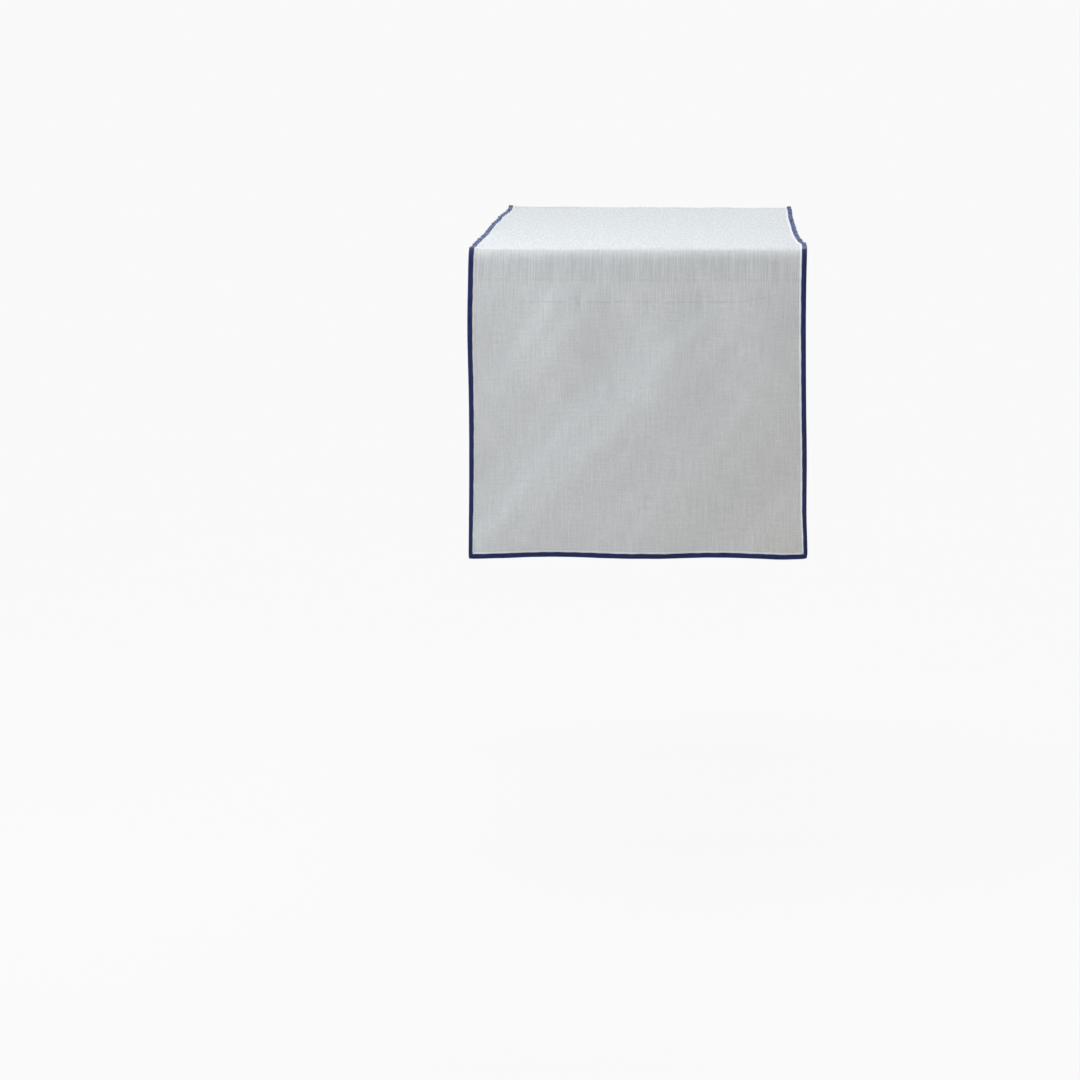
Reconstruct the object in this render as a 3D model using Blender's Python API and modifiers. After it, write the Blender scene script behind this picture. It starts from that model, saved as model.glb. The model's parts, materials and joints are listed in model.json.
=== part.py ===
"""A linen table runner with a blue bound edge, draped across a table from front to back.

The runner is made the way it is sewn. One length of linen has its raw edges folded into a
narrow tape, the tape is mitred at the four corners, and a row of stitching holds it down.
Every strip is first laid out flat, as it lies on the sewing table. The strips that go over
the table's edges are then bent round them, and the two drops are turned down on pivots
at those edges.

Metres, +Z up. The origin is on the table's surface, under the middle of the runner.
The front drop hangs on the -Y side and the back drop on the +Y side.
"""

import math

import bmesh
import bpy
from mathutils import Matrix, Vector

# Driving dimensions
RUNNER_WIDTH = 0.400  # across, over both bindings
RUNNER_LENGTH = 1.800  # hem to hem, laid flat
TABLE_DEPTH = 1.0756  # front to back, of the table that the runner hangs over
TURN_RADIUS = 0.0098  # inside of the turn over the table's edge
LINEN = 0.0006  # thickness of the cloth
TAPE = 0.0005  # thickness of one leg of the folded tape
BAND = 0.0055  # width of the tape that shows along the edge
EASE = 0.0003  # room between pieces that lie on each other
RISE_RUN = 0.0015  # the cloth rises into the tape over this width
FOLD_GAP = 0.0009  # between a turn and the drop that swings from it
STITCH_INSET = 0.0012  # from the tape's inner edge to the stitching
THREAD_RADIUS = 0.0002

# How finely the round stretches are divided
TURN_STEPS = 8
EDGE_STEPS = 6
THREAD_RESOLUTION = 2

# What follows from the dimensions above
EDGE = 2 * (TAPE + EASE) + LINEN  # thickness over the bound edge
RISE = TAPE + EASE  # how far the cloth is lifted inside the tape
NEUTRAL = EDGE / 2  # height of the layer that keeps its length when bent
HALF_WIDTH = RUNNER_WIDTH / 2
HALF_LENGTH = RUNNER_LENGTH / 2
HALF_TOP = TABLE_DEPTH / 2 - TURN_RADIUS  # where the turn starts
TURN_LENGTH = (TURN_RADIUS + NEUTRAL) * math.pi / 2
TURN_END = HALF_TOP + TURN_LENGTH  # measured along the cloth
STITCH_IN = BAND - STITCH_INSET  # from the runner's edge to the stitching
STITCH_LIFT = EDGE + EASE + THREAD_RADIUS

# A drop swings on a line halfway along the turn. At this depth it goes from hanging at
# the table's edge to lying level, and the runner is as long lying as hanging.
PIVOT_Y = HALF_TOP + TURN_LENGTH / 2
PIVOT_Z = TURN_LENGTH / 2 - TURN_RADIUS

FRONT, BACK = -1, 1
LEFT, RIGHT = -1, 1
END_NAMES = {FRONT: "front", BACK: "back"}
SIDE_NAMES = {LEFT: "left", RIGHT: "right"}


def clear_scene():
    for item in list(bpy.data.objects):
        bpy.data.objects.remove(item)


def make_material(name, colour, roughness):
    material = bpy.data.materials.new(name)
    material.use_nodes = True
    shader = material.node_tree.nodes["Principled BSDF"]
    shader.inputs["Base Color"].default_value = (*colour, 1.0)
    shader.inputs["Roughness"].default_value = roughness
    shader.inputs["Metallic"].default_value = 0.0
    return material


def add_object(name, data, material, collection):
    data.materials.append(material)
    item = bpy.data.objects.new(name, data)
    collection.objects.link(item)
    return item


def add_mesh(name, shape, material, collection):
    mesh = bpy.data.meshes.new(name)
    shape.to_mesh(mesh)
    shape.free()
    return add_object(name, mesh, material, collection)


# Laying out, all flat


def cloth_columns():
    """(place across, lift) of the cloth's raw edges and of the rises into the tape."""
    rise_top = HALF_WIDTH - BAND - EASE
    half = [(rise_top - RISE_RUN, 0.0), (rise_top, RISE), (HALF_WIDTH - NEUTRAL, RISE)]
    return [(-x, lift) for x, lift in reversed(half)] + half


def make_cloth(name, rows, material, collection):
    """A sheet of linen from rows of (place along the runner, lift), thickened upwards."""
    columns = cloth_columns()
    rows = sorted(rows)
    across, along = len(columns) - 1, len(rows) - 1
    shape = bmesh.new()
    bmesh.ops.create_grid(shape, x_segments=across, y_segments=along, size=0.5)
    for vertex in shape.verts:
        x, column_lift = columns[round((vertex.co.x + 0.5) * across)]
        y, row_lift = rows[round((vertex.co.y + 0.5) * along)]
        vertex.co = (x, y, max(column_lift, row_lift))
    item = add_mesh(name, shape, material, collection)
    thickness = item.modifiers.new("Thickness", "SOLIDIFY")
    thickness.thickness = LINEN
    thickness.offset = 1
    thickness.use_even_offset = True
    return item


def tape_outline():
    """The folded tape's section as (distance in, height), open on its inner side."""

    def fold(radius, start, finish):
        for step in range(EDGE_STEPS + 1):
            angle = start + (finish - start) * step / EDGE_STEPS
            yield NEUTRAL - radius * math.cos(angle), NEUTRAL + radius * math.sin(angle)

    outside = list(fold(NEUTRAL, -math.pi / 2, math.pi / 2))
    inside = list(fold(NEUTRAL - TAPE, math.pi / 2, -math.pi / 2))
    upper_leg = [(BAND, EDGE), (BAND, EDGE - TAPE)]
    lower_leg = [(BAND, TAPE), (BAND, 0.0)]
    return outside + upper_leg + inside + lower_leg


def make_tape(name, place, rows, mitres, material, collection):
    """A strip of folded tape, drawn out along rows and then put in its place.

    place turns (distance in from the edge, length along it, height) into a point.
    mitres holds 1 or 0 for each end: whether it is cut at 45 degrees for a corner.
    """
    shape = bmesh.new()
    first_ring = [shape.verts.new((d, rows[0], height)) for d, height in tape_outline()]
    cap = shape.faces.new(first_ring)
    inner_walls = []
    for before, after in zip(rows, rows[1:]):
        made = bmesh.ops.extrude_face_region(shape, geom=[cap])["geom"]
        moved = [piece for piece in made if isinstance(piece, bmesh.types.BMVert)]
        bmesh.ops.translate(shape, verts=moved, vec=(0, after - before, 0))
        cap = next(piece for piece in made if isinstance(piece, bmesh.types.BMFace))
        inner_walls.append(cap)
    bmesh.ops.delete(shape, geom=inner_walls[:-1], context="FACES_ONLY")
    for ring, inwards in ((first_ring, mitres[0]), (list(cap.verts), -mitres[1])):
        for vertex in ring:
            vertex.co.y += inwards * (vertex.co.x + EASE)
    for vertex in shape.verts:
        vertex.co = place(*vertex.co)
    if shape.calc_volume(signed=True) < 0:
        bmesh.ops.reverse_faces(shape, faces=shape.faces)
    return add_mesh(name, shape, material, collection)


def make_stitching(name, points, material, collection):
    """A row of stitches, as one thread through the points."""
    curve = bpy.data.curves.new(name, "CURVE")
    curve.dimensions = "3D"
    curve.bevel_depth = THREAD_RADIUS
    curve.bevel_resolution = THREAD_RESOLUTION
    curve.use_fill_caps = True
    thread = curve.splines.new("POLY")
    thread.points.add(len(points) - 1)
    for knot, point in zip(thread.points, points):
        knot.co = (*point, 1.0)
    return add_object(name, curve, material, collection)


# Hanging it over the table


def turn_rows():
    """Places along the cloth from one end of a turn to the other."""
    return [HALF_TOP + TURN_LENGTH * step / TURN_STEPS for step in range(TURN_STEPS + 1)]


def bent(point):
    """Where a point of the flat runner goes when the cloth is bent over the table's edge."""
    end = math.copysign(1, point[1])
    angle = (abs(point[1]) - HALF_TOP) / (TURN_RADIUS + NEUTRAL)
    radius = TURN_RADIUS + point[2]
    along = HALF_TOP + radius * math.sin(angle)
    return Vector((point[0], end * along, radius * math.cos(angle) - TURN_RADIUS))


def bend_mesh(item):
    for vertex in item.data.vertices:
        vertex.co = bent(vertex.co)


def make_pivot(end, collection):
    """An empty on the line that a drop swings on, turned from lying to hanging."""
    pivot = bpy.data.objects.new(f"{END_NAMES[end]}_drop_pivot", None)
    pivot.location = (0, end * PIVOT_Y, PIVOT_Z)
    pivot.rotation_euler = (-end * math.pi / 2, 0, 0)
    collection.objects.link(pivot)
    return pivot


def hang(item, pivot):
    """Give a flat piece of a drop its origin on the pivot, and let it hang from there."""
    item.data.transform(Matrix.Translation(-pivot.location))
    item.parent = pivot


# The pieces


def side_place(side, end):
    """For tape along a side: its length runs from the runner's middle to that end."""
    return lambda d, along, height: (side * (HALF_WIDTH - d), end * along, height)


def hem_place(end):
    """For tape along a hem: its length runs from left to right."""
    return lambda d, along, height: (along, end * (HALF_LENGTH - d), height)


def stitch_points(side, end, rows):
    """The stitching's line along a side, on top of the tape."""
    return [(side * (HALF_WIDTH - STITCH_IN), end * row, STITCH_LIFT) for row in rows]


def make_top(materials, collection):
    """What lies on the table between the two turns."""
    linen, tape, thread = materials
    rows = [-HALF_TOP + EASE, HALF_TOP - EASE]
    make_cloth("linen_top", [(row, 0.0) for row in rows], linen, collection)
    for side, name in SIDE_NAMES.items():
        place = side_place(side, BACK)
        make_tape(f"binding_{name}_top", place, rows, (0, 0), tape, collection)
        points = stitch_points(side, BACK, rows)
        make_stitching(f"stitching_{name}_top", points, thread, collection)


def make_turn(end, materials, collection):
    """What bends over one of the table's edges."""
    linen, tape, thread = materials
    rows = turn_rows()
    where = f"{END_NAMES[end]}_turn"
    bend_mesh(make_cloth(f"linen_{where}", [(end * s, 0.0) for s in rows], linen, collection))
    for side, name in SIDE_NAMES.items():
        place = side_place(side, end)
        bend_mesh(make_tape(f"binding_{name}_{where}", place, rows, (0, 0), tape, collection))
        points = [bent(point) for point in stitch_points(side, end, rows)]
        make_stitching(f"stitching_{name}_{where}", points, thread, collection)


def make_drop(end, materials, collection):
    """What hangs in front of the table or behind it, down to the hem."""
    linen, tape, thread = materials
    where = f"{END_NAMES[end]}_drop"
    pivot = make_pivot(end, collection)
    start = TURN_END + FOLD_GAP
    rise_top = HALF_LENGTH - BAND - EASE
    heights = [(start, 0.0), (rise_top - RISE_RUN, 0.0), (rise_top, RISE)]
    heights.append((HALF_LENGTH - NEUTRAL, RISE))
    cloth_rows = [(end * s, height) for s, height in heights]
    hang(make_cloth(f"linen_{where}", cloth_rows, linen, collection), pivot)

    stitch_end = HALF_LENGTH - STITCH_IN - 2 * THREAD_RADIUS - EASE
    for side, name in SIDE_NAMES.items():
        place = side_place(side, end)
        rows = [start, HALF_LENGTH]
        hang(make_tape(f"binding_{name}_{where}", place, rows, (0, 1), tape, collection), pivot)
        points = stitch_points(side, end, [start, stitch_end])
        hang(make_stitching(f"stitching_{name}_{where}", points, thread, collection), pivot)

    hem = f"{END_NAMES[end]}_hem"
    rows = [-HALF_WIDTH, HALF_WIDTH]
    hang(make_tape(f"binding_{hem}", hem_place(end), rows, (1, 1), tape, collection), pivot)
    corner = HALF_WIDTH - STITCH_IN
    level = end * (HALF_LENGTH - STITCH_IN)
    points = [(-corner, level, STITCH_LIFT), (corner, level, STITCH_LIFT)]
    hang(make_stitching(f"stitching_{hem}", points, thread, collection), pivot)


def make_runner():
    clear_scene()
    runner = bpy.data.collections.new("table_runner")
    bpy.context.scene.collection.children.link(runner)
    materials = (
        make_material("white linen", (0.78, 0.80, 0.82), 0.9),
        make_material("blue binding tape", (0.03, 0.05, 0.19), 0.8),
        make_material("blue sewing thread", (0.04, 0.06, 0.24), 0.6),
    )
    make_top(materials, runner)
    for end in (FRONT, BACK):
        make_turn(end, materials, runner)
        make_drop(end, materials, runner)


make_runner()
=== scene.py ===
# %% [markdown]
# # A linen table runner, draped over a table
#
# A runner is a long, narrow cloth that is laid across a table so that both ends hang down.
# This one is white plain-weave linen. Its raw edges are folded into a narrow blue tape, the
# tape is mitred at the four corners, and a row of stitching holds it down.
#
# The shapes that a machine could check come first, as a fixed frame of simple solids. This
# script dresses that frame: it lays the cloth out flat, lets it sag and pucker as real cloth
# does, and hangs it over the table's edges.

# %% The frame, and the box that it fills
import json
import math

import bmesh
import bpy
import numpy as np
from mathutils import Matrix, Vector


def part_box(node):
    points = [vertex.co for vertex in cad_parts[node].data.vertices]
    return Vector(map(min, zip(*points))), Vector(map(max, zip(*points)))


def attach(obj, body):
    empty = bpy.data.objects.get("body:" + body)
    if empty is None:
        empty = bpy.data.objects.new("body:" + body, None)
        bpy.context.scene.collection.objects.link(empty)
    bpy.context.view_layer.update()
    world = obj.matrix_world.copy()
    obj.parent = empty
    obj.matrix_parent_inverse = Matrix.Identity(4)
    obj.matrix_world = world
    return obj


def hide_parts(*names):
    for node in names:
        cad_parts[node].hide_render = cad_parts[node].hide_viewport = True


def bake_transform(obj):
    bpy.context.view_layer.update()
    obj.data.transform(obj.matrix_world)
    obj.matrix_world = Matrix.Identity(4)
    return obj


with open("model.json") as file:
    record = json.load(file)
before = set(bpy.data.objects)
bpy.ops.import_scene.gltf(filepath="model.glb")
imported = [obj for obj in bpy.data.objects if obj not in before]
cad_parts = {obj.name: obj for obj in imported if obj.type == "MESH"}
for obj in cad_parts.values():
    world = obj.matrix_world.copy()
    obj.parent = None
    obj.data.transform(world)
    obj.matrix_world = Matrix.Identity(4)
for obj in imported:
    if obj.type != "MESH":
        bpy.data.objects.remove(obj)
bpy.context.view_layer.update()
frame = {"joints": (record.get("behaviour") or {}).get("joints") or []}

# %% [markdown]
# ## Measures
#
# Every size is read from the frame, so the finished runner can't drift away from it. The
# hinge of each fold lies halfway along the turn over the table's edge, which gives the length
# of cloth that the turn uses up. From that, the flat length of half the runner follows.

# %% Read the sizes
top_tape_low, top_tape_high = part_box("binding_right_top")
turn_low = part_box("linen_back_turn")[0]
drop_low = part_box("linen_back_drop")[0]
hem_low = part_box("binding_back_hem")[0]
hinges = {joint["child"]: joint["pos_m"] for joint in frame["joints"]}
fold_y = abs(hinges["back_drop"][1])

half_width = top_tape_high.x
band = top_tape_high.x - top_tape_low.x
edge_thickness = top_tape_high.z - top_tape_low.z
half_top = turn_low.y
turn_radius = drop_low.y - half_top
turn_length = 2 * (fold_y - half_top)
half_length = half_top + turn_length - turn_radius - hem_low.z
print(f"width {2 * half_width:.3f} m, length {2 * half_length:.3f} m, band {band * 1000:.1f} mm")

# %% Sizes that go with them
mm = 0.001
linen_thickness = 0.6 * mm
tape_thickness = 0.5 * mm
middle = edge_thickness / 2  # height of the layer that keeps its length where the cloth bends
linen_lift = middle - linen_thickness / 2  # how far the cloth rises to go into the tape
seam_room = 0.15 * mm
leg_end = band + 0.4 * mm  # the tape's legs reach this far in from the edge
FRONT, BACK = -1, 1
LEFT, RIGHT = -1, 1
end_names = {FRONT: "front", BACK: "back"}
side_names = {LEFT: "left", RIGHT: "right"}

# %% [markdown]
# ## Smooth curves
#
# Four small tools do most of the drawing. A ramp eases from 0 to 1. A bump is 1 at its middle
# and dies away to both sides. A wave goes up and down evenly. A smooth line goes through a few
# given places, as a bent ruler would, and stays level past its ends.


# %% Ramp, bump, wave and smooth line
def ramp(value):
    value = np.clip(value, 0, 1)
    return value * value * (3 - 2 * value)


def bump(distance, width):
    return np.exp(-((distance / width) ** 2))


def wave(place, length, start):
    """start says where in its swing the wave is at place 0, in radians."""
    return np.sin(2 * math.pi * place / length + start)


def smooth_line(at, stations):
    places, values = np.array(stations, float).T
    slopes = np.gradient(values, places)
    slopes[0] = slopes[-1] = 0
    k = np.clip(np.searchsorted(places, at) - 1, 0, len(places) - 2)
    gap = places[k + 1] - places[k]
    t = np.clip((at - places[k]) / gap, 0, 1)
    leaving = (2 * t**3 - 3 * t**2 + 1) * values[k] + (t**3 - 2 * t**2 + t) * gap * slopes[k]
    arriving = (3 * t**2 - 2 * t**3) * values[k + 1] + (t**3 - t**2) * gap * slopes[k + 1]
    return leaving + arriving


# %% [markdown]
# ## Over the table's edge
#
# Cloth doesn't turn a corner as a quarter circle. It lifts off just before the edge, goes round
# it tightly and then relaxes, so the last few degrees take as much cloth as the first forty.
# The turn is drawn by its slope at each place along the cloth, and the slope is added up to
# give the shape.

# %% The shape of the turn
early = 3 * mm  # the turn starts this far before the table's edge
relaxing_length = 30 * mm
relaxing_power = 2.0  # 1 gives a quarter circle, and more turns sooner and relaxes longer
easing_in = 1.6 * mm
turn_start = half_top - early
turn_steps = 400

turn_places = np.linspace(0, relaxing_length, turn_steps + 1)
turn_angles = math.pi / 2 * (1 - (1 - turn_places / relaxing_length) ** relaxing_power)
turn_angles = turn_angles * (1 - np.exp(-turn_places / easing_in))
between = (turn_angles[1:] + turn_angles[:-1]) / 2
step = relaxing_length / turn_steps
turn_out = np.concatenate([[0], np.cumsum(np.cos(between))]) * step
turn_down = np.concatenate([[0], np.cumsum(np.sin(between))]) * step
print(f"the turn goes {turn_out[-1] * 1000:.1f} mm out and {turn_down[-1] * 1000:.1f} mm down")


# %% Hang a flat point
letting_go = 30 * mm  # past the table's edge the cloth comes free over this length


def hanging_share(s):
    """0 where the cloth lies on the table, and 1 where it hangs free of it."""
    return ramp((np.abs(s) - half_top) / letting_go)


def drape(x, s, lift):
    """s is the place along the cloth from its middle, and lift the height above the table."""
    past = np.abs(s) - turn_start
    angle = np.interp(past, turn_places, turn_angles)
    out = turn_start + np.minimum(past, 0) + np.interp(past, turn_places, turn_out)
    down = np.interp(past, turn_places, turn_down) + np.maximum(past - relaxing_length, 0)
    y = np.sign(s) * (out + (lift - middle) * np.sin(angle))
    z = middle - down + (lift - middle) * np.cos(angle)
    return np.stack([x, y, z], axis=-1)


# %% [markdown]
# ## How the cloth strays
#
# Real cloth isn't ruled. The tape is a little tighter than the linen, so the edges wander by
# a few millimetres and pucker. Where the ends hang free they fall in soft flutes. Pressing and
# folding leave creases. Each of these is a small push on a point of the flat cloth: across,
# along, or out of the surface. Linen, tape and thread all take the same push, so they stay
# together.

# %% Wandering edges
# (place along the runner from its middle, metres, minus to the front; how far outwards the
# edge strays, millimetres)
right_edge = [
    (-0.90, 4.0), (-0.85, 2.5), (-0.78, 2.5), (-0.70, 1.0), (-0.56, 0.5), (-0.49, 2.0),
    (-0.43, 2.5), (-0.36, -0.5), (-0.29, -2.0), (-0.15, -3.0), (0.0, -2.5), (0.20, -2.0),
    (0.54, 0.5), (0.62, -1.0), (0.74, 0.5), (0.90, 0.0),
]
left_edge = [
    (-0.90, 0.5), (-0.72, 0.0), (-0.63, 1.5), (-0.50, -0.5), (-0.36, -0.5), (-0.22, -2.0),
    (-0.08, -1.0), (0.07, -0.5), (0.15, -1.5), (0.23, -0.5), (0.32, -2.5), (0.41, -4.0),
    (0.55, -1.5), (0.65, 0.0), (0.75, -0.5), (0.90, 0.0),
]
# (place across, metres; how far the hem strays downwards, millimetres)
hem_edge = [
    (-0.20, 1.0), (-0.16, 0.0), (-0.12, -1.0), (-0.08, -1.0), (-0.03, 0.0), (0.04, 0.0),
    (0.09, -1.5), (0.14, -1.0), (0.17, 0.0), (0.20, -0.5),
]


def stray_across(x, s):
    right = ramp(x / half_width) * smooth_line(s, right_edge)
    left = ramp(-x / half_width) * smooth_line(s, left_edge)
    return (right - left) * mm


def stray_along(x, s):
    near_hem = ramp((np.abs(s) - 0.70) / 0.18)
    mirrored = np.where(s < 0, x, -x)
    return np.sign(s) * near_hem * smooth_line(mirrored, hem_edge) * mm


# %% Uneven tape
# (place down the front from the fold, metres; the share by which the band is narrower there)
narrower = [(0.0, -0.03), (0.12, 0.01), (0.22, 0.05), (0.30, 0.12), (0.345, 0.20), (0.366, 0.22)]


def draw_in(x, s):
    """Moves the band's inner edge outwards, and the linen beside it less and less."""
    from_side = half_width - np.abs(x)
    share = smooth_line(-s - fold_y, narrower)
    past_band = from_side - 7 * mm
    return share * from_side * (1 - ramp(past_band / (12 * mm)))


# %% Puckers where the tape is sewn on
# (length, metres; height, millimetres; where in its swing it starts, radians)
pucker_waves = [(0.0230, 0.40, 0.3), (0.0370, 0.65, 1.9), (0.0610, 0.85, 4.1)]
pucker_width = 13 * mm


def waves_along(place, start):
    """A few waves of different lengths added up, so that no two puckers are alike."""
    total = 0
    for length, height, phase in pucker_waves:
        total = total + height * wave(place, length, phase + start)
    return total


def puckers(x, s):
    """Out of the surface. On the table a pucker can only rise, and hanging it goes both ways."""
    from_side = half_width - np.abs(x)
    side_wave = waves_along(s, np.where(x < 0, 0.0, 2.3))
    from_hem = half_length - np.abs(s)
    hem_wave = waves_along(x, np.where(s < 0, 1.0, 3.2))
    side_push = bump(from_side, pucker_width) * side_wave
    hem_push = bump(from_hem, pucker_width) * hem_wave
    hanging = hanging_share(s)
    on_table = np.maximum(side_push, 0)
    return (on_table * (1 - hanging) + (0.35 * side_push + 0.3 * hem_push) * hanging) * mm


# %% Soft flutes in the drops
flute_length = 0.118  # metres from one flute to the next
wide_length = 0.205
ripple_length = 0.036
ripple_fading = 0.16


def flutes(x, s):
    """Upright near the table, then slanting, as the two sides don't pull down evenly."""
    down = np.abs(s) - fold_y
    place = np.where(s < 0, x, 0.02 - x)  # the back isn't quite the front's mirror image
    free = ramp((down - 0.015) / 0.05)
    upright = np.cos(2 * math.pi * (place + 0.085) / flute_length)
    upright = upright * (1 - ramp((down - 0.10) / 0.14))
    slanted = wave(0.70 * place + 0.70 * down, flute_length, 0.9)
    slanted = slanted * (0.5 + 0.5 * ramp((down - 0.05) / 0.08))
    wide = wave(0.55 * place + 0.83 * down, wide_length, 2.2)
    bow = np.cos(2 * math.pi * (place - 0.03) / 0.46)
    wandering = 0.004 * np.sin(place / 0.019)
    ripple = wave(0.78 * place + 0.63 * down + wandering, ripple_length, 1.1)
    ripple = ripple * (0.6 + 0.4 * wave(place - 0.4 * down, ripple_fading, 0.5))
    held_out = bump(down - 0.018, 0.022) * ramp((down + 0.004) / 0.02)
    waves = 1.8 * upright + 2.6 * slanted + 2.8 * wide + 2.0 * bow + 0.55 * ripple
    return (free * waves + 0.5 * held_out) * mm


# %% The spring before the edge
spring_place = 14 * mm  # before the turn
spring_width = 9 * mm


def spring(x, s):
    """Linen is stiff, so it lifts a little just before it goes over the table's edge."""
    before = turn_start - np.abs(s)
    mirrored = np.where(s < 0, x, -x)
    height = (1.15 + 0.75 * mirrored / half_width) * mm
    held_down = 1 - 0.5 * bump(half_width - np.abs(x), 15 * mm)
    return height * held_down * bump(before - spring_place, spring_width)


# %% Creases pressed into the front
folded_at = 0.0568  # down from the fold, metres
table_edge_at = 0.0305
fold_line_depth = 0.40 * mm
table_line_depth = 0.15 * mm
kink_depth = 0.60 * mm


def creases(x, s):
    """Shallow grooves. They break up along their length, as old fold lines do."""
    down = -s - fold_y
    broken = 0.55 + 0.45 * wave(x, 0.043, 1.0)
    reach = ramp((x + 0.155) / 0.03) * (1 - ramp((x - 0.165) / 0.02))
    curl = 11 * mm * ramp((x - 0.125) / 0.06) ** 2
    fold_line = bump(down - (folded_at - curl), 1.5 * mm) * reach * broken
    table_line = bump(down - table_edge_at, 2.0 * mm) * (1 - 0.5 * broken)
    kink_reach = ramp((down - 0.034) / 0.018) * (1 - ramp((down - 0.060) / 0.022))
    kink = bump(x + 0.066 + 0.3 * (down - 0.055), 3.5 * mm) * kink_reach
    return -(fold_line_depth * fold_line + table_line_depth * table_line + kink_depth * kink)


# %% The hand of the cloth
# Linen is never quite smooth. A few faint waves in random directions stand for that, and the
# longer a wave is, the higher it may be.
chance = np.random.default_rng(11)
crumple_steepness = 0.010
slack = 0.35 * mm  # how far the cloth stands off the table, on the whole
crumple_waves = [
    (
        2 * math.pi / chance.uniform(0.018, 0.060),
        chance.uniform(0, math.pi),
        chance.uniform(0, 2 * math.pi),
    )
    for _ in range(14)
]


def crumple(x, s):
    total = 0
    for pace, heading, phase in crumple_waves:
        place = x * math.cos(heading) + s * math.sin(heading)
        total = total + np.sin(pace * place + phase) / pace
    return crumple_steepness * total


# %% The whole push on a point
def corner_pull(x, s):
    """Turning a corner takes the sharpness off it, and more at one side than at the other."""
    away = np.hypot(half_width - np.abs(x), half_length - np.abs(s))
    return np.where(x > 0, 0.9, 0.35) * mm * bump(away, 4 * mm)


def hang(points):
    x, s, lift = np.asarray(points, float).T
    hanging = hanging_share(s)
    crumpled = crumple(x, s)
    on_table = np.maximum(crumpled + slack * (1 - hanging), 0)
    out = puckers(x, s) + flutes(x, s) + spring(x, s) + creases(x, s)
    out = out + on_table * (1 - hanging) + crumpled * hanging
    pull = corner_pull(x, s)
    across = x + stray_across(x, s) + np.sign(x) * (draw_in(x, s) - pull)
    along = s + stray_along(x, s) - np.sign(s) * pull
    return drape(across, along, lift + out)


# %% [markdown]
# ## From flat pieces to meshes
#
# Each piece is drawn flat, as (across, along, lift), then hung, then made into a mesh. The flat
# place is also kept as a UV map in metres, so that a weave follows the cloth round every bend
# and keeps its real size. That map is named laid_flat.


# %% Make a piece
def make_piece(name, flat_points, faces, weave_places, material):
    mesh = bpy.data.meshes.new(name)
    mesh.from_pydata(hang(flat_points).tolist(), [], faces)
    flat_map = mesh.uv_layers.new(name="laid_flat")
    corners = np.zeros(len(mesh.loops), np.int32)
    mesh.loops.foreach_get("vertex_index", corners)
    flat_map.data.foreach_set("uv", np.asarray(weave_places, np.float32)[corners].ravel())
    shape = bmesh.new()
    shape.from_mesh(mesh)
    if shape.calc_volume(signed=True) < 0:
        bmesh.ops.reverse_faces(shape, faces=shape.faces)
    shape.to_mesh(mesh)
    shape.free()
    mesh.shade_smooth()
    mesh.set_sharp_from_angle(angle=math.radians(50))
    mesh.materials.append(material)
    piece = bpy.data.objects.new(name, mesh)
    bpy.context.scene.collection.objects.link(piece)
    print(f"{name}: {len(mesh.vertices)} points, {len(mesh.polygons)} faces")
    return piece


def paced(*spans):
    """Places along a line, from spans of (start, end, spacing) that follow each other."""
    places = [spans[0][0]]
    for start, end, spacing in spans:
        count = max(1, round(abs(end - start) / spacing))
        places += list(np.linspace(start, end, count + 1)[1:])
    return np.array(places)


# %% [markdown]
# ## Shader maths
#
# A weave is a sum, and it is easier to read as one. The Value class below wraps one socket
# of a shader, and adding, multiplying or subtracting Values adds the Math nodes for it. All
# other nodes come from one method, node(), whether they belong to a finish or to the room.


# %% A value in a shader
class Value:
    def __init__(self, owner, socket):
        self.owner = owner
        self.socket = socket

    def __getitem__(self, name):
        return Value(self.owner, self.socket.node.outputs[name])

    def _maths(self, operation, *values):
        inputs = dict(enumerate(values))
        return self.owner.node("ShaderNodeMath", {"operation": operation}, inputs)

    def __add__(self, other):
        return self._maths("ADD", self, other)

    def __mul__(self, other):
        return self._maths("MULTIPLY", self, other)

    def __sub__(self, other):
        return self._maths("SUBTRACT", self, other)

    def __rsub__(self, other):
        return self._maths("SUBTRACT", other, self)

    def __truediv__(self, other):
        return self._maths("DIVIDE", self, other)

    __radd__ = __add__
    __rmul__ = __mul__

    def cosine(self):
        return self._maths("COSINE", self)

    def size(self):
        return self._maths("ABSOLUTE", self)

    def smaller(self, other):
        return self._maths("MINIMUM", self, other)

    def eased(self, start, end):
        """0 at start, 1 at end, and smooth between them."""
        inputs = {0: self, 1: start, 2: end, 3: 0.0, 4: 1.0}
        kind = {"interpolation_type": "SMOOTHSTEP"}
        return self.owner.node("ShaderNodeMapRange", kind, inputs)


# %% A set of shader nodes
class Nodes:
    def __init__(self, tree):
        self.tree = tree

    def set(self, node, name, value):
        if isinstance(value, Value):
            self.tree.links.new(value.socket, node.inputs[name])
        else:
            node.inputs[name].default_value = value

    def node(self, kind, settings, inputs, output=0):
        made = self.tree.nodes.new(kind)
        for name, value in settings.items():
            setattr(made, name, value)
        for name, value in inputs.items():
            self.set(made, name, value)
        return Value(self, made.outputs[output])


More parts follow.
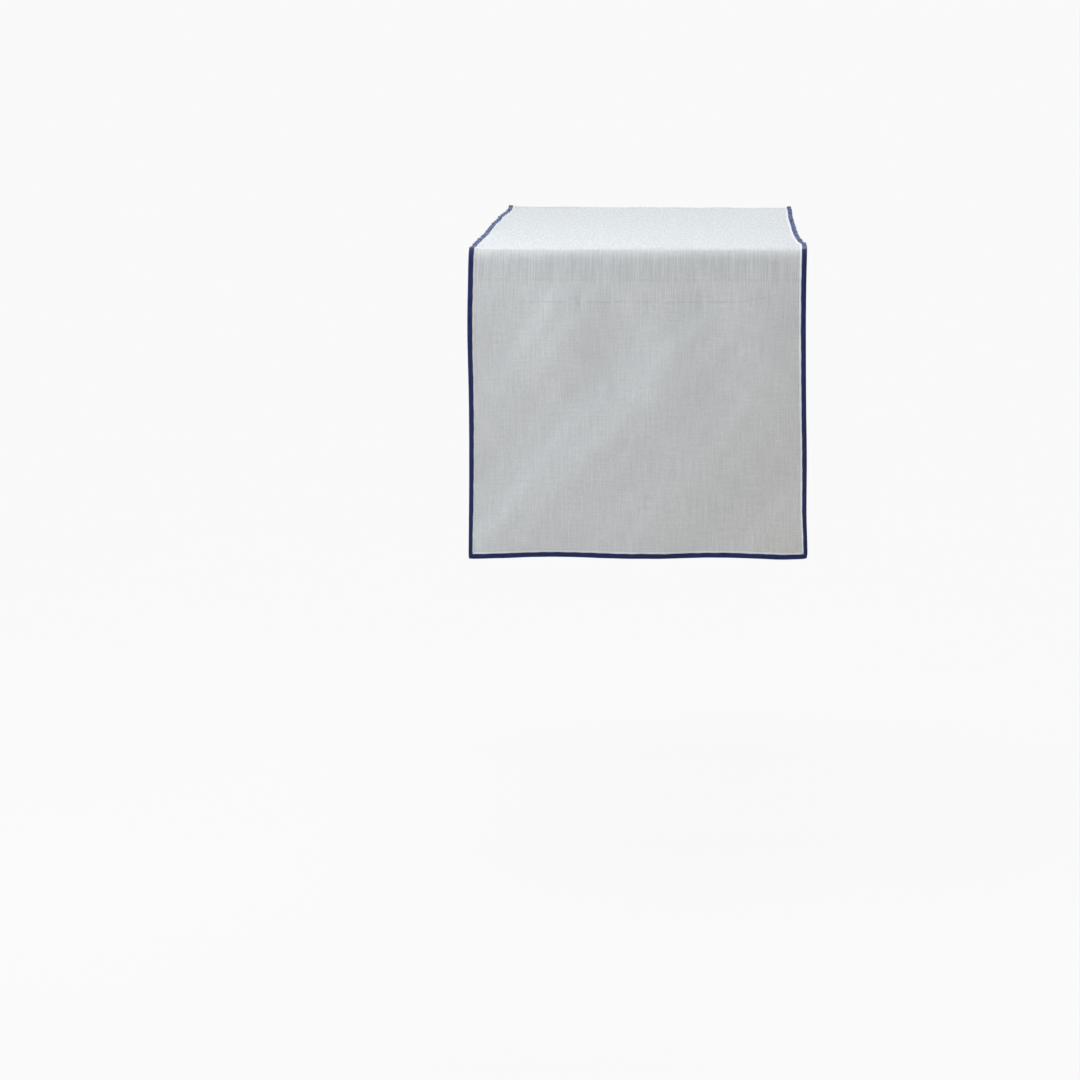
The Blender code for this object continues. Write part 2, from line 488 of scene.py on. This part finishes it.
# %% A finish
class Finish(Nodes):
    def __init__(self, name):
        self.material = bpy.data.materials.new(name)
        self.material.use_nodes = True
        super().__init__(self.material.node_tree)
        self.shader = self.tree.nodes["Principled BSDF"]

    def noise(self, across, along, detail=2.0):
        """Noise at places given as two values, with one feature for each unit."""
        place = self.node("ShaderNodeCombineXYZ", {}, {"X": across, "Y": along})
        inputs = {"Vector": place, "Scale": 1.0, "Detail": detail}
        return self.node("ShaderNodeTexNoise", {"noise_dimensions": "2D"}, inputs)

    def mix(self, factor, first, second):
        inputs = {0: factor, 6: first, 7: second}
        return self.node("ShaderNodeMix", {"data_type": "RGBA"}, inputs, output=2)

    def flat_place(self):
        """The two directions of the laid_flat map, in metres."""
        place = self.node("ShaderNodeUVMap", {"uv_map": "laid_flat"}, {})
        parts = self.node("ShaderNodeSeparateXYZ", {}, {"Vector": place})
        return parts["X"], parts["Y"]

    def bumped(self, height, distance, strength):
        inputs = {"Height": height, "Distance": distance, "Strength": strength}
        return self.node("ShaderNodeBump", {}, inputs)

    def finished(self, **inputs):
        for name, value in inputs.items():
            self.set(self.shader, name.replace("_", " "), value)
        print(f"finish {self.material.name}: {len(self.tree.nodes)} nodes")
        return self.material


# %% [markdown]
# ## Plain weave
#
# In plain weave each thread goes over one and under the next, like a chessboard. A thread's
# roundness is a cosine across it. The product of two cosines at half that pace is positive
# where the lengthwise thread is on top and negative where the crosswise one is.


# %% The height of a plain weave
def plain_weave(across, along):
    """across and along are in threads. Gives 0 in the gaps and 1 on top of the threads."""
    lengthwise = (across * (2 * math.pi)).cosine() * 0.5 + 0.5
    crosswise = (along * (2 * math.pi)).cosine() * 0.5 + 0.5
    over = (across * math.pi).cosine() * (along * math.pi).cosine()
    share = over.eased(-0.35, 0.35)
    return lengthwise * share + crosswise * (1 - share)


# %% [markdown]
# ## White linen
#
# Linen yarn has slubs, short thick places left by the spinning. Along a thread they run for
# centimetres, and across it they are one or two threads wide, so they show as fine streaks in
# both directions. The lengthwise ones are the stronger here, most of all where bending over the
# table has opened the weave. Thick places catch the light and thin ones let a little grey
# through. Where the cloth lies slack on the table it is blotchier than where its weight pulls
# it straight. A thin line beside the tape is painted paler. The cool white is painted warmer
# and a touch darker towards the right side and down each end, as painted light from a warm
# fill. Two faint lines across the front, where the table's lower edge pressed the cloth and
# where it was folded away, are painted darker as painted shade in the creases. The strip that
# rests against the side of the table top is painted a touch greyer, as painted shade from the
# table behind it.

# %% Linen: threads and slubs
linen = Finish("slubby_white_linen")
across, along = linen.flat_place()
thread = 0.62 * mm
drift = linen.noise(across / 0.030, along / 0.050) - 0.5
slant = linen.noise(across / 0.045 + 7.0, along / 0.030) - 0.5
long_slubs = linen.noise(across / (1.25 * mm) + drift * 1.2, along / 0.048 + 3.0, detail=3.0)
cross_slubs = linen.noise(across / 0.030 + 5.0, along / (1.30 * mm) + slant * 1.2, detail=3.0)
flecks = linen.noise(across / (2.6 * mm), along / (4.5 * mm) + 9.0, detail=3.0)
patches = linen.noise(across / (3.0 * mm) + 2.0, along / 0.022 + 6.0, detail=3.0)
weave = plain_weave(across / thread + drift * 1.5, along / thread + slant * 1.5)
print(f"the linen has {10 * mm / thread:.0f} threads to the centimetre")

# %% Linen: painted shade in the creases and under the fold
past_fold = along.size() - fold_y
down = -1 * along - fold_y
curl = across.eased(0.110, 0.200) * 0.013
# painted shade: the fold line and the table's edge line are painted darker, broken into dashes
fold_crease_shade = 1 - (down + curl - folded_at).size().eased(0.3 * mm, 1.7 * mm)
fold_crease_shade = fold_crease_shade * across.eased(-0.155, -0.120) * (1 - across.eased(0.165, 0.185))
table_edge_crease_shade = 1 - (down - table_edge_at).size().eased(0.3 * mm, 2.6 * mm)
dashes = linen.noise(across / 0.009, along / 0.040 + 2.0, detail=1.0).eased(0.40, 0.62)
painted_crease_shade = fold_crease_shade * (dashes * 0.50 + 0.10) + table_edge_crease_shade * (dashes * 0.22 + 0.06)
# painted shade: the strip backed by the side of the table top is painted greyer, as the table
# behind it keeps light from coming through
painted_table_shade = past_fold.eased(0.0, 0.012) * (1 - past_fold.eased(0.022, 0.036))
print(f"marks {table_edge_at * 1000:.1f} and {folded_at * 1000:.1f} mm below the fold")

# %% Linen: colour
opened = past_fold.eased(-0.012, 0.0) * (1 - past_fold.eased(0.024, 0.075))
lying = 1 - past_fold.eased(-0.020, 0.0)
tone = 0.5 + (long_slubs - 0.5) * (opened * 1.5 + lying * 1.2 + 1.05)
tone = tone + (cross_slubs - 0.5) * 0.70 + (patches - 0.5) * (lying * 1.9 + 0.4)
# painted shade: the crease lines, and below them the strip against the table's side, are darkened
# here
tone = tone + (flecks - 0.5) * 0.7 + (weave - 0.6) * 0.25 - painted_crease_shade
tone = tone - painted_table_shade * 0.16
cool_white = linen.mix(tone, (0.678, 0.696, 0.706, 1), (0.842, 0.855, 0.863, 1))
# painted light: the white is painted warmer and a touch darker towards the right and down each
# end, standing in for a warm fill light
painted_warm_shade_white = linen.mix(tone, (0.664, 0.659, 0.644, 1), (0.824, 0.812, 0.792, 1))
painted_warm_shade_share = across / (2 * half_width) + past_fold / 0.55
woven = linen.mix(painted_warm_shade_share.eased(0.30, 1.15) * 0.9, cool_white, painted_warm_shade_white)

# %% Linen: paler beside the tape
from_side = half_width - across.size()
from_hem = half_length - along.size()
from_edge = from_side.smaller(from_hem)
# a thin line beside the tape is painted paler
pale_line_beside_tape = 1 - (from_edge - (leg_end + 1.1 * mm)).size().eased(0.5 * mm, 1.5 * mm)
linen_colour = linen.mix(pale_line_beside_tape, woven, (0.960, 0.970, 0.980, 1))

# %% Linen: relief and sheen
relief = weave * 0.6 + (long_slubs - 0.5) * 1.3 + (cross_slubs - 0.5) * 1.6
relief = relief + (flecks - 0.5) * 1.5 + (patches - 0.5) * 2.0
linen_material = linen.finished(
    Base_Color=linen_colour,
    Roughness=0.86 + (long_slubs - 0.5) * 0.15,
    Normal=linen.bumped(relief, 0.25 * mm, 0.55),
    Specular_IOR_Level=0.25,
    Sheen_Weight=0.20,
    Sheen_Roughness=0.45,
    Sheen_Tint=(0.93, 0.96, 1.0, 1),
)

# %% [markdown]
# ## Blue binding tape
#
# Binding tape is cut slantwise so that it can go round corners, which puts its threads at 45
# degrees to its length. The dye is deep blue. It is worn a little paler along the fold, where
# the edge rubs. Cotton this fine has a bloom of loose fibres that shows when it is seen edge
# on, and the shader's sheen stands for that.

# %% Tape
tape = Finish("blue_binding_tape")
across, along = tape.flat_place()
tape_thread = 0.38 * mm
one_way = (across + along) / (tape_thread * math.sqrt(2))
other_way = (across - along) / (tape_thread * math.sqrt(2))
tape_weave = plain_weave(one_way, other_way)
patches = tape.noise(across / 0.004, along / 0.012, detail=3.0)
yarns = tape.noise(one_way * 0.9, other_way * 0.12, detail=2.0)
rubbed = 1 - across.size().eased(0.3 * mm, 1.8 * mm)
shade = 0.35 + (patches - 0.5) * 1.1 + (yarns - 0.5) * 0.6 + (tape_weave - 0.5) * 0.35
dyed = tape.mix(shade, (0.012, 0.019, 0.078, 1), (0.028, 0.045, 0.187, 1))
tape_colour = tape.mix(rubbed * (0.15 + patches * 0.2), dyed, (0.045, 0.065, 0.230, 1))
tape_material = tape.finished(
    Base_Color=tape_colour,
    Roughness=0.80 + (patches - 0.5) * 0.2,
    Normal=tape.bumped(tape_weave + yarns * 0.5, 0.12 * mm, 0.6),
    Specular_IOR_Level=0.22,
    Sheen_Weight=1.0,
    Sheen_Roughness=0.40,
    Sheen_Tint=(0.50, 0.58, 1.0, 1),
)

# %% [markdown]
# ## Sewing thread
#
# The thread is spun cotton in the tape's blue, two plies twisted together. The twist is a
# slanted stripe: a cosine of the place round the thread plus the place along it.

# %% Thread
cotton = Finish("blue_sewing_thread")
around, length = cotton.flat_place()
ply_pitch = 0.9 * mm
twist = ((around * 2 + length / ply_pitch) * (2 * math.pi)).cosine() * 0.5 + 0.5
fuzz = cotton.noise(around * 9.0, length / (0.15 * mm), detail=2.0)
spun = cotton.mix(twist * 0.7 + fuzz * 0.3, (0.012, 0.018, 0.080, 1), (0.040, 0.058, 0.220, 1))
thread_material = cotton.finished(
    Base_Color=spun,
    Roughness=0.55 + fuzz * 0.2,
    Normal=cotton.bumped(twist, 0.05 * mm, 0.7),
    Specular_IOR_Level=0.35,
    Sheen_Weight=0.3,
)

# %% [markdown]
# ## The cloth
#
# The linen is one length, but only two bodies can share a piece, so it is made as a front
# half and a back half that meet at the middle of the table, point for point. Each half is a
# closed sheet: an upper layer, a lower layer and a rim. At the sides and the hem the sheet
# rises a little to go between the two legs of the tape. Rows and columns lie closer together
# at the edges, where the cloth turns and where it is creased.


# %% Half of the linen
kink_from, kink_to = 0.060, 0.078  # the columns that the kink crosses, from the middle
fine_edge = 0.010  # the width of the finer mesh along the edges


def rise(x, s):
    """How far the cloth is lifted off the table to go into the tape."""
    from_edge = np.minimum(half_width - np.abs(x), half_length - np.abs(s))
    return linen_lift * (1 - ramp((from_edge - leg_end - 0.1 * mm) / (2.2 * mm)))


def make_linen(end):
    inner = half_width - middle  # the edge of the linen, inside the fold of the tape
    half_columns = paced(
        (0, kink_from, 3 * mm), (kink_from, kink_to, 1.2 * mm),
        (kink_to, inner - fine_edge, 3 * mm), (inner - fine_edge, inner, 1 * mm),
    )
    columns = np.concatenate([-half_columns[:0:-1], half_columns])
    spring_from = half_top - 0.045
    nearly_turning = half_top - 0.010
    turned = turn_start + relaxing_length
    past_creases = fold_y + 0.088
    last = half_length - middle
    rows = paced(
        (0, spring_from, 5 * mm), (spring_from, nearly_turning, 2.5 * mm),
        (nearly_turning, turned, 1.3 * mm), (turned, past_creases, 1.5 * mm),
        (past_creases, last - fine_edge, 4 * mm), (last - fine_edge, last, 1 * mm),
    )
    x, s = [grid.ravel() for grid in np.meshgrid(columns, end * rows)]
    lower = np.stack([x, s, rise(x, s)], axis=1)
    upper = lower + (0, 0, linen_thickness)
    wide, count = len(columns), len(x)

    corner = np.arange(count).reshape(len(rows), wide)
    under = [corner[:-1, :-1], corner[1:, :-1], corner[1:, 1:], corner[:-1, 1:]]
    under = np.stack([c.ravel() for c in under], axis=1)
    over = under[:, ::-1] + count
    rim = np.concatenate([corner[0], corner[1:, -1], corner[-1, -2::-1], corner[-2:0:-1, 0]])
    after = np.roll(rim, -1)
    walls = np.stack([rim, after, after + count, rim + count], axis=1)
    faces = np.concatenate([under, over, walls]).tolist()
    points = np.concatenate([lower, upper])
    name = f"linen_{end_names[end]}_half"
    return make_piece(name, points, faces, points[:, :2], linen_material)


linens = {end: make_linen(end) for end in (FRONT, BACK)}

# %% [markdown]
# ## The tape
#
# The tape's section is a long U: two legs and a round fold. The stitching pinches the legs
# together near their edges, so the section is drawn plump at the fold and thin at the
# stitches. It is then drawn out along the edge, with one ring at each needle hole and one
# between, and the tape swells a little between the holes. At the corners both tapes are cut
# back along the same 45 degree line, which makes the mitre.

# %% The section of the folded tape
stitch_inset = band - 1.2 * mm  # from the runner's edge to the stitching
pinch = 0.22 * mm
leg_places = np.array([1.1, 1.9, 2.7, 3.4, 3.9, 4.3, 4.8, 5.3, 5.7]) * mm
fold_steps = 9


def half_height(place):
    """Height of the tape's outer face above its middle layer."""
    return middle - pinch * ramp((place - 2.4 * mm) / (1.9 * mm))


def tape_section():
    """Points (distance in from the edge, height, place round the section), outside then in."""
    turns = np.linspace(-math.pi / 2, math.pi / 2, fold_steps)[1:-1]
    layers = []
    for inset in (0, tape_thickness):
        legs = [(p, half_height(p) - inset) for p in leg_places]
        radius = middle - inset
        fold = [(middle - radius * math.cos(a), radius * math.sin(a)) for a in turns]
        layer = [(p, -h) for p, h in reversed(legs)] + fold + legs
        places = [math.copysign(p, h) if p >= middle else h for p, h in layer]
        layers.append([(p, middle + h, w) for (p, h), w in zip(layer, places)])
    lip = half_height(leg_end) - tape_thickness / 2
    upper_lip = (leg_end, middle + lip, leg_end)
    lower_lip = (leg_end, middle - lip, -leg_end)
    return np.array([*layers[0], upper_lip, *reversed(layers[1]), lower_lip])


section = tape_section()
print(f"the tape's section has {len(section)} points")


# %% Skin a row of rings
def closed_tube(rows, ring):
    """Faces of a tube of rings, closed at both ends. Points are numbered ring by ring."""
    corner = np.arange(rows * ring).reshape(rows, ring)
    beside = np.roll(corner, -1, axis=1)
    skin = np.stack([corner[:-1], beside[:-1], beside[1:], corner[1:]], axis=-1)
    return [*skin.reshape(-1, 4).tolist(), corner[0, ::-1].tolist(), corner[-1].tolist()]


# %% Where the needle goes
# A seam runs from corner to corner, in whole stitches of about 3 mm.
seams = {}
for kind, seam_start, seam_end in (
    ("side", 0.0, half_length - stitch_inset),
    ("hem", stitch_inset - half_width, half_width - stitch_inset),
):
    stitches = round((seam_end - seam_start) / (3 * mm))
    pitch = (seam_end - seam_start) / stitches
    rows = paced((seam_start, seam_end, pitch / 2), (seam_end, seam_end + stitch_inset, 1.4 * mm))
    if kind == "hem":
        rows = np.concatenate([paced((-half_width, seam_start, 1.4 * mm))[:-1], rows])
    seams[kind] = {"start": seam_start, "stitches": stitches, "pitch": pitch, "rows": rows}
    print(f"{kind} seam: {stitches} stitches of {pitch * 1000:.3f} mm, {len(rows)} rings of tape")

# %% Draw the tape along an edge
mitre_reach = 14 * mm  # how far from a corner the rings start to lean


def sway(place):
    """How far the tape's inner edges wander, as tape never folds quite straight."""
    return (0.13 * np.sin(place / 0.0031) + 0.10 * np.sin(place / 0.0083 + 1.0)) * mm


def make_tape(name, kind, mitres, place):
    """place turns (distance in, length along, height) into a flat point of the runner.

    mitres says for the first and the last ring whether it is cut back for a corner.
    """
    seam = seams[kind]
    rows = seam["rows"]
    inward, height, around = section.T
    along, inward = np.meshgrid(rows, inward, indexing="ij")
    down_row = rows[:, None]

    near_first = ramp((rows[0] + mitre_reach - along) / mitre_reach) * mitres[0]
    near_last = ramp((along - rows[-1] + mitre_reach) / mitre_reach) * mitres[1]
    along = along + (inward + seam_room / 2) * (near_first - near_last)

    stitch_count = (down_row - seam["start"]) / seam["pitch"]
    between_holes = 0.5 - 0.5 * np.cos(2 * math.pi * stitch_count)
    swelling = 1 + 0.035 * between_holes + 0.015 * np.sin(down_row / 0.0045)
    height = middle + (height - middle) * swelling
    inward = inward + sway(down_row) * ramp((inward - 2 * mm) / (3 * mm))

    points = np.stack(place(inward, along, height), axis=-1).reshape(-1, 3)
    around = np.broadcast_to(around, along.shape)
    weave_places = np.stack([around, along], axis=-1).reshape(-1, 2)
    faces = closed_tube(len(rows), len(section))
    return make_piece(name, points, faces, weave_places, tape_material)


# %% All six strips of tape
def side_place(side, end):
    return lambda inward, along, height: (side * (half_width - inward), end * along, height)


def hem_place(end):
    return lambda inward, along, height: (along, end * (half_length - inward), height)


side_tapes = {
    (side, end): make_tape(
        f"tape_{side_names[side]}_{end_names[end]}_half", "side", (0, 1), side_place(side, end)
    )
    for end in (FRONT, BACK)
    for side in (LEFT, RIGHT)
}
hem_tapes = {
    end: make_tape(f"tape_{end_names[end]}_hem", "hem", (1, 1), hem_place(end))
    for end in (FRONT, BACK)
}

# %% [markdown]
# ## The stitching
#
# A lockstitch looks the same from above and from below: short lengths of thread that come out
# of one needle hole, lie on the tape and go down the next. Each one here is a small tube with
# a low arch, whose ends sink into the tape. They are all made at once, from one pattern.

# %% Sew along an edge
thread_radius = 0.19 * mm
stitch_rings = 7
stitch_sides = 7
free_end = 0.07  # the share of the pitch that a stitch leaves free at each end
sunk = 0.16 * mm  # how deep the ends lie in the tape
arch_height = 0.22 * mm
slant_across = 0.10 * mm  # a stitch lies a little askew


def make_stitches(name, kind, place):
    seam = seams[kind]
    count = seam["stitches"]
    t = np.linspace(0, 1, stitch_rings)
    turn = np.arange(stitch_sides) / stitch_sides
    which, t, turn = np.meshgrid(np.arange(count), t, turn, indexing="ij")
    arch = np.sin(math.pi * t)
    radius = thread_radius * (0.70 + 0.30 * arch)
    along = seam["start"] + (which + free_end + (1 - 2 * free_end) * t) * seam["pitch"]
    inward = stitch_inset + radius * np.cos(2 * math.pi * turn) + slant_across * (t - 0.5)
    out = half_height(stitch_inset) - sunk + arch_height * arch
    out = out + 0.85 * radius * np.sin(2 * math.pi * turn)

    points, weave_places, faces = [], [], []
    pattern = closed_tube(stitch_rings, stitch_sides)
    for layer in (1, -1):
        height = middle + layer * out
        points.append(np.stack(place(inward, along, height), axis=-1).reshape(-1, 3))
        weave_places.append(np.stack([turn, along], axis=-1).reshape(-1, 2))
        for k in range(count):
            first = len(faces) // len(pattern) * stitch_rings * stitch_sides
            faces += [[first + corner for corner in face[::layer]] for face in pattern]
    weave_places = np.concatenate(weave_places)
    return make_piece(name, np.concatenate(points), faces, weave_places, thread_material)


# %% All six seams
side_stitches = {
    (side, end): make_stitches(
        f"stitches_{side_names[side]}_{end_names[end]}_half", "side", side_place(side, end)
    )
    for end in (FRONT, BACK)
    for side in (LEFT, RIGHT)
}
hem_stitches = {
    end: make_stitches(f"stitches_{end_names[end]}_hem", "hem", hem_place(end))
    for end in (FRONT, BACK)
}

# %% [markdown]
# ## What each piece moves with
#
# The runner has three bodies: the top, and a drop at each end that can be lifted level with
# the table. Cloth and tape that cross a fold are attached to no body: their placement is only
# baked into their meshes, and the frame's parts for them are hidden. A hem is all on its drop.


def bend_over(piece):
    """Bakes the piece's placement into its mesh, and does no more."""
    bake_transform(piece)


for end, end_name in end_names.items():
    drop = f"{end_name}_drop"
    parts = ("top", f"{end_name}_turn", drop)
    bend_over(linens[end])
    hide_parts(*[f"linen_{part}" for part in parts])
    for side, side_name in side_names.items():
        bend_over(side_tapes[side, end])
        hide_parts(*[f"binding_{side_name}_{part}" for part in parts])
        bend_over(side_stitches[side, end])
        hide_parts(*[f"stitching_{side_name}_{p}" for p in parts])
    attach(hem_tapes[end], drop)
    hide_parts(f"binding_{end_name}_hem")
    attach(hem_stitches[end], drop)
    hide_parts(f"stitching_{end_name}_hem")

# %% Gather the tape and stitching of each end
for end in (FRONT, BACK):
    trimmings = [hem_tapes[end], hem_stitches[end]]
    for side in (LEFT, RIGHT):
        trimmings += [side_tapes[side, end], side_stitches[side, end]]

# %% [markdown]
# ## The studio
#
# The room is plain: a pale floor at the height that a table stands on, and a pale backdrop.
# The floor glows evenly, so the runner's shadow on it is only just seen. The backdrop is white
# to look at but gives little light, so that the lamps can shape the cloth.
#
# Daylight comes from above, as through a wide window, and there is a fainter light far behind.
# Both reach the top of the cloth, and the front hangs in their shade. The front is lit by the
# pale room, by a low soft lamp at the left, whose slanting light shows the flutes, and by a
# higher and larger one that fills in the rest.

# %% Colours as they are seen
scene = bpy.context.scene
scene.view_settings.view_transform = "Standard"
room_white = (0.951, 0.951, 0.951, 1)
floor_white = (0.912, 0.912, 0.912, 1)  # the lamps add the rest
daylight = (0.94, 0.97, 1.0, 1)

# %% Floor
floor_height = -0.74
floor_half = 300.0
floor_shape = bmesh.new()
bmesh.ops.create_grid(floor_shape, x_segments=2, y_segments=2, size=floor_half)
floor_mesh = bpy.data.meshes.new("floor")
floor_shape.to_mesh(floor_mesh)
floor_shape.free()
floor = bpy.data.objects.new("floor", floor_mesh)
floor.location.z = floor_height
scene.collection.objects.link(floor)

pale = Finish("pale_floor")
pale_place = pale.node("ShaderNodeNewGeometry", {}, {})
grain = pale.node("ShaderNodeTexNoise", {}, {"Vector": pale_place, "Scale": 3.0})
floor_mesh.materials.append(
    pale.finished(
        Base_Color=pale.mix(grain, (0.040, 0.040, 0.040, 1), (0.044, 0.044, 0.044, 1)),
        Roughness=0.9,
        Specular_IOR_Level=0.0,
        Emission_Color=floor_white,
        Emission_Strength=1.0,
    )
)

# %% Backdrop and the room's own light
room = bpy.data.worlds.new("room")
scene.world = room
room.use_nodes = True
room_nodes = Nodes(room.node_tree)
backdrop = room_nodes.tree.nodes["Background"]
room_nodes.set(backdrop, "Color", room_white)
seen = Value(room_nodes, backdrop.outputs[0])
given = room_nodes.node("ShaderNodeBackground", {}, {"Color": daylight, "Strength": 0.09})
looked_at = room_nodes.node("ShaderNodeLightPath", {}, {}, output="Is Camera Ray")
either = room_nodes.node("ShaderNodeMixShader", {}, {"Fac": looked_at, 1: given, 2: seen})
room_nodes.set(room_nodes.tree.nodes["World Output"], "Surface", either)
print(f"room: {len(room_nodes.tree.nodes)} nodes")


# %% Lamps
def make_lamp(name, kind, place, target, strength, colour, **settings):
    light = bpy.data.lights.new(name, kind)
    light.energy = strength
    light.color = colour
    for setting, value in settings.items():
        setattr(light, setting, value)
    lamp = bpy.data.objects.new(name, light)
    lamp.location = place
    towards = Vector(target) - Vector(place)
    lamp.rotation_euler = towards.to_track_quat("-Z", "Y").to_euler()
    scene.collection.objects.link(lamp)
    print(f"lamp {name}: {strength} at {place}")


make_lamp(
    "soft_sun", "SUN", (-0.45, 0.36, 2.6), (0, 0, 0), 2.22, (0.965, 0.98, 0.99),
    angle=math.radians(60),
)
make_lamp(
    "far_light", "SUN", (0.2, 2.2, 0.65), (0, 0, 0), 1.6, (0.90, 0.96, 1.0),
    angle=math.radians(24),
)
make_lamp(
    "left_lamp", "AREA", (-0.80, -1.05, 0.30), (-0.15, -0.54, -0.2), 2.35, (0.93, 0.97, 1.0),
    size=0.6,
)
make_lamp(
    "high_lamp", "AREA", (-1.2, -0.75, 0.9), (0, -0.4, 0), 5.6, (0.96, 0.98, 1.0),
    size=0.8,
)

# %% Camera
camera_data = bpy.data.cameras.new("camera")
camera_data.lens = 152.0
camera_data.sensor_width = 36.0
camera = bpy.data.objects.new("camera", camera_data)
camera.location = (0.082, -5.94, 0.306)
camera.rotation_euler = (math.radians(90 - 6.87), 0, math.radians(2.09))
scene.collection.objects.link(camera)
scene.camera = camera
